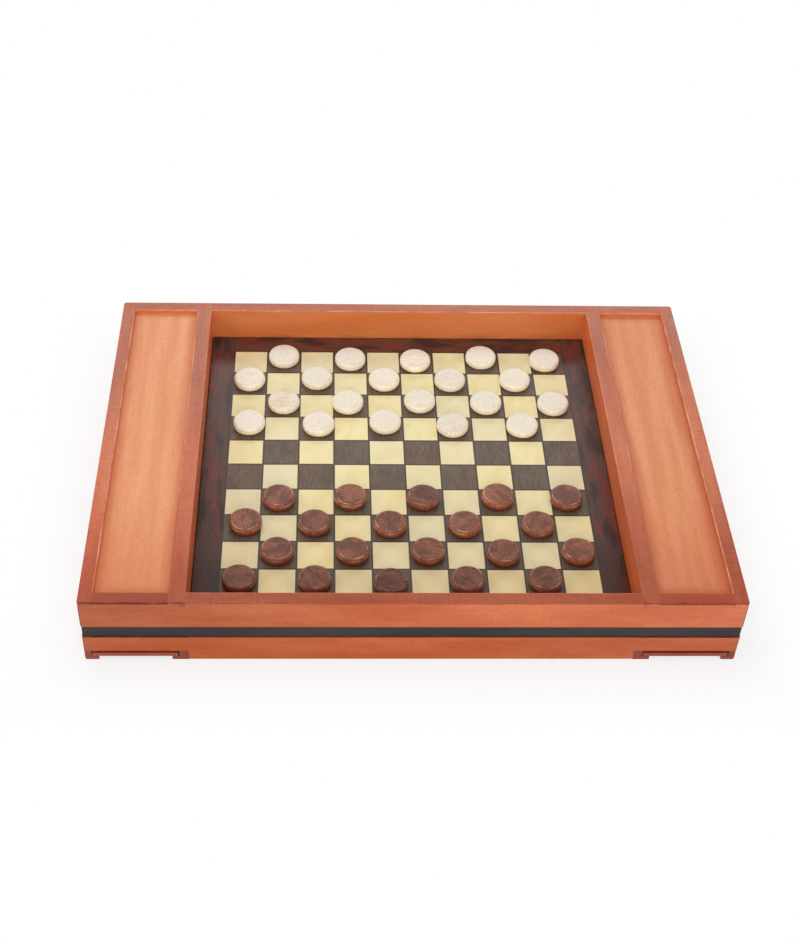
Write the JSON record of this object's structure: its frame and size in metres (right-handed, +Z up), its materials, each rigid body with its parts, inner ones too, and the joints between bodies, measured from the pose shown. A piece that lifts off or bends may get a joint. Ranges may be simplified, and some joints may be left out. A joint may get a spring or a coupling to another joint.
{
  "type": "games compendium box",
  "caption": "Wooden games case: a lift-out draughts board with loose men in a square well, and on each side a tray over a compartment with a sliding lid.",
  "frame": {"origin": "centre of the case's outline on the surface that it stands on", "axes": "+Z up, +X along the long side to the right, +Y to the back; the lids slide out towards -Y"},
  "size_m": [0.453, 0.329, 0.058],
  "materials": {
    "case_wood": "satin red-brown stain and lacquer on close-grained hardwood",
    "tray_panel_wood": "satin orange stain on veneered panel",
    "strip_wood": "satin dark red stain on hardwood",
    "band_wood": "satin black stain on hardwood",
    "base_wood": "thin satin stain on plywood and softwood",
    "lid_wood": "satin red-brown stain on thin hardwood",
    "border_veneer": "satin lacquer on rosewood veneer",
    "dark_veneer": "satin lacquer on grey-brown veneer",
    "light_veneer": "satin lacquer on pale yellow veneer",
    "light_man_wood": "thin matt finish on turned pale wood",
    "dark_man_wood": "satin mahogany stain on turned wood"
  },
  "bodies": {
    "case": {"front_wall": "case_wood", "back_wall": "case_wood", "left_wall": "case_wood", "right_wall": "case_wood", "left_divider": "case_wood", "right_divider": "case_wood", "left_tray_panel": "tray_panel_wood", "right_tray_panel": "tray_panel_wood", "tray_front_strips": "strip_wood", "front_band": "band_wood", "back_band": "band_wood", "left_band": "band_wood", "right_band": "band_wood", "base_panel": "base_wood", "board_battens": "base_wood"},
    "left_lid": {"left_lid": "lid_wood"},
    "right_lid": {"right_lid": "lid_wood"},
    "board": {"board_panel": "border_veneer", "dark_squares": "dark_veneer", "light_squares": "light_veneer"},
    "light_man_01": {"light_man_01": "light_man_wood"},
    "light_man_02": {"light_man_02": "light_man_wood"},
    "light_man_03": {"light_man_03": "light_man_wood"},
    "light_man_04": {"light_man_04": "light_man_wood"},
    "light_man_05": {"light_man_05": "light_man_wood"},
    "light_man_06": {"light_man_06": "light_man_wood"},
    "light_man_07": {"light_man_07": "light_man_wood"},
    "light_man_08": {"light_man_08": "light_man_wood"},
    "light_man_09": {"light_man_09": "light_man_wood"},
    "light_man_10": {"light_man_10": "light_man_wood"},
    "light_man_11": {"light_man_11": "light_man_wood"},
    "light_man_12": {"light_man_12": "light_man_wood"},
    "light_man_13": {"light_man_13": "light_man_wood"},
    "light_man_14": {"light_man_14": "light_man_wood"},
    "light_man_15": {"light_man_15": "light_man_wood"},
    "light_man_16": {"light_man_16": "light_man_wood"},
    "light_man_17": {"light_man_17": "light_man_wood"},
    "light_man_18": {"light_man_18": "light_man_wood"},
    "light_man_19": {"light_man_19": "light_man_wood"},
    "light_man_20": {"light_man_20": "light_man_wood"},
    "dark_man_01": {"dark_man_01": "dark_man_wood"},
    "dark_man_02": {"dark_man_02": "dark_man_wood"},
    "dark_man_03": {"dark_man_03": "dark_man_wood"},
    "dark_man_04": {"dark_man_04": "dark_man_wood"},
    "dark_man_05": {"dark_man_05": "dark_man_wood"},
    "dark_man_06": {"dark_man_06": "dark_man_wood"},
    "dark_man_07": {"dark_man_07": "dark_man_wood"},
    "dark_man_08": {"dark_man_08": "dark_man_wood"},
    "dark_man_09": {"dark_man_09": "dark_man_wood"},
    "dark_man_10": {"dark_man_10": "dark_man_wood"},
    "dark_man_11": {"dark_man_11": "dark_man_wood"},
    "dark_man_12": {"dark_man_12": "dark_man_wood"},
    "dark_man_13": {"dark_man_13": "dark_man_wood"},
    "dark_man_14": {"dark_man_14": "dark_man_wood"},
    "dark_man_15": {"dark_man_15": "dark_man_wood"},
    "dark_man_16": {"dark_man_16": "dark_man_wood"},
    "dark_man_17": {"dark_man_17": "dark_man_wood"},
    "dark_man_18": {"dark_man_18": "dark_man_wood"},
    "dark_man_19": {"dark_man_19": "dark_man_wood"},
    "dark_man_20": {"dark_man_20": "dark_man_wood"}
  },
  "joints": [
    {"name": "board_lift", "type": "slide", "parent": "case", "child": "board", "axis": [0, 0, 1], "range_m": [0, 0.08]},
    {"name": "compartment_left_lid_slide", "type": "slide", "parent": "case", "child": "left_lid", "axis": [0, -1, 0], "range_m": [0, 0.32]},
    {"name": "compartment_right_lid_slide", "type": "slide", "parent": "case", "child": "right_lid", "axis": [0, -1, 0], "range_m": [0, 0.32]},
    {"name": "dark_man_01_lift", "type": "slide", "parent": "board", "child": "dark_man_01", "axis": [0, 0, 1], "range_m": [0, 0.05]},
    {"name": "dark_man_02_lift", "type": "slide", "parent": "board", "child": "dark_man_02", "axis": [0, 0, 1], "range_m": [0, 0.05]},
    {"name": "dark_man_03_lift", "type": "slide", "parent": "board", "child": "dark_man_03", "axis": [0, 0, 1], "range_m": [0, 0.05]},
    {"name": "dark_man_04_lift", "type": "slide", "parent": "board", "child": "dark_man_04", "axis": [0, 0, 1], "range_m": [0, 0.05]},
    {"name": "dark_man_05_lift", "type": "slide", "parent": "board", "child": "dark_man_05", "axis": [0, 0, 1], "range_m": [0, 0.05]},
    {"name": "dark_man_06_lift", "type": "slide", "parent": "board", "child": "dark_man_06", "axis": [0, 0, 1], "range_m": [0, 0.05]},
    {"name": "dark_man_07_lift", "type": "slide", "parent": "board", "child": "dark_man_07", "axis": [0, 0, 1], "range_m": [0, 0.05]},
    {"name": "dark_man_08_lift", "type": "slide", "parent": "board", "child": "dark_man_08", "axis": [0, 0, 1], "range_m": [0, 0.05]},
    {"name": "dark_man_09_lift", "type": "slide", "parent": "board", "child": "dark_man_09", "axis": [0, 0, 1], "range_m": [0, 0.05]},
    {"name": "dark_man_10_lift", "type": "slide", "parent": "board", "child": "dark_man_10", "axis": [0, 0, 1], "range_m": [0, 0.05]},
    {"name": "dark_man_11_lift", "type": "slide", "parent": "board", "child": "dark_man_11", "axis": [0, 0, 1], "range_m": [0, 0.05]},
    {"name": "dark_man_12_lift", "type": "slide", "parent": "board", "child": "dark_man_12", "axis": [0, 0, 1], "range_m": [0, 0.05]},
    {"name": "dark_man_13_lift", "type": "slide", "parent": "board", "child": "dark_man_13", "axis": [0, 0, 1], "range_m": [0, 0.05]},
    {"name": "dark_man_14_lift", "type": "slide", "parent": "board", "child": "dark_man_14", "axis": [0, 0, 1], "range_m": [0, 0.05]},
    {"name": "dark_man_15_lift", "type": "slide", "parent": "board", "child": "dark_man_15", "axis": [0, 0, 1], "range_m": [0, 0.05]},
    {"name": "dark_man_16_lift", "type": "slide", "parent": "board", "child": "dark_man_16", "axis": [0, 0, 1], "range_m": [0, 0.05]},
    {"name": "dark_man_17_lift", "type": "slide", "parent": "board", "child": "dark_man_17", "axis": [0, 0, 1], "range_m": [0, 0.05]},
    {"name": "dark_man_18_lift", "type": "slide", "parent": "board", "child": "dark_man_18", "axis": [0, 0, 1], "range_m": [0, 0.05]},
    {"name": "dark_man_19_lift", "type": "slide", "parent": "board", "child": "dark_man_19", "axis": [0, 0, 1], "range_m": [0, 0.05]},
    {"name": "dark_man_20_lift", "type": "slide", "parent": "board", "child": "dark_man_20", "axis": [0, 0, 1], "range_m": [0, 0.05]},
    {"name": "light_man_01_lift", "type": "slide", "parent": "board", "child": "light_man_01", "axis": [0, 0, 1], "range_m": [0, 0.05]},
    {"name": "light_man_02_lift", "type": "slide", "parent": "board", "child": "light_man_02", "axis": [0, 0, 1], "range_m": [0, 0.05]},
    {"name": "light_man_03_lift", "type": "slide", "parent": "board", "child": "light_man_03", "axis": [0, 0, 1], "range_m": [0, 0.05]},
    {"name": "light_man_04_lift", "type": "slide", "parent": "board", "child": "light_man_04", "axis": [0, 0, 1], "range_m": [0, 0.05]},
    {"name": "light_man_05_lift", "type": "slide", "parent": "board", "child": "light_man_05", "axis": [0, 0, 1], "range_m": [0, 0.05]},
    {"name": "light_man_06_lift", "type": "slide", "parent": "board", "child": "light_man_06", "axis": [0, 0, 1], "range_m": [0, 0.05]},
    {"name": "light_man_07_lift", "type": "slide", "parent": "board", "child": "light_man_07", "axis": [0, 0, 1], "range_m": [0, 0.05]},
    {"name": "light_man_08_lift", "type": "slide", "parent": "board", "child": "light_man_08", "axis": [0, 0, 1], "range_m": [0, 0.05]},
    {"name": "light_man_09_lift", "type": "slide", "parent": "board", "child": "light_man_09", "axis": [0, 0, 1], "range_m": [0, 0.05]},
    {"name": "light_man_10_lift", "type": "slide", "parent": "board", "child": "light_man_10", "axis": [0, 0, 1], "range_m": [0, 0.05]},
    {"name": "light_man_11_lift", "type": "slide", "parent": "board", "child": "light_man_11", "axis": [0, 0, 1], "range_m": [0, 0.05]},
    {"name": "light_man_12_lift", "type": "slide", "parent": "board", "child": "light_man_12", "axis": [0, 0, 1], "range_m": [0, 0.05]},
    {"name": "light_man_13_lift", "type": "slide", "parent": "board", "child": "light_man_13", "axis": [0, 0, 1], "range_m": [0, 0.05]},
    {"name": "light_man_14_lift", "type": "slide", "parent": "board", "child": "light_man_14", "axis": [0, 0, 1], "range_m": [0, 0.05]},
    {"name": "light_man_15_lift", "type": "slide", "parent": "board", "child": "light_man_15", "axis": [0, 0, 1], "range_m": [0, 0.05]},
    {"name": "light_man_16_lift", "type": "slide", "parent": "board", "child": "light_man_16", "axis": [0, 0, 1], "range_m": [0, 0.05]},
    {"name": "light_man_17_lift", "type": "slide", "parent": "board", "child": "light_man_17", "axis": [0, 0, 1], "range_m": [0, 0.05]},
    {"name": "light_man_18_lift", "type": "slide", "parent": "board", "child": "light_man_18", "axis": [0, 0, 1], "range_m": [0, 0.05]},
    {"name": "light_man_19_lift", "type": "slide", "parent": "board", "child": "light_man_19", "axis": [0, 0, 1], "range_m": [0, 0.05]},
    {"name": "light_man_20_lift", "type": "slide", "parent": "board", "child": "light_man_20", "axis": [0, 0, 1], "range_m": [0, 0.05]}
  ]
}
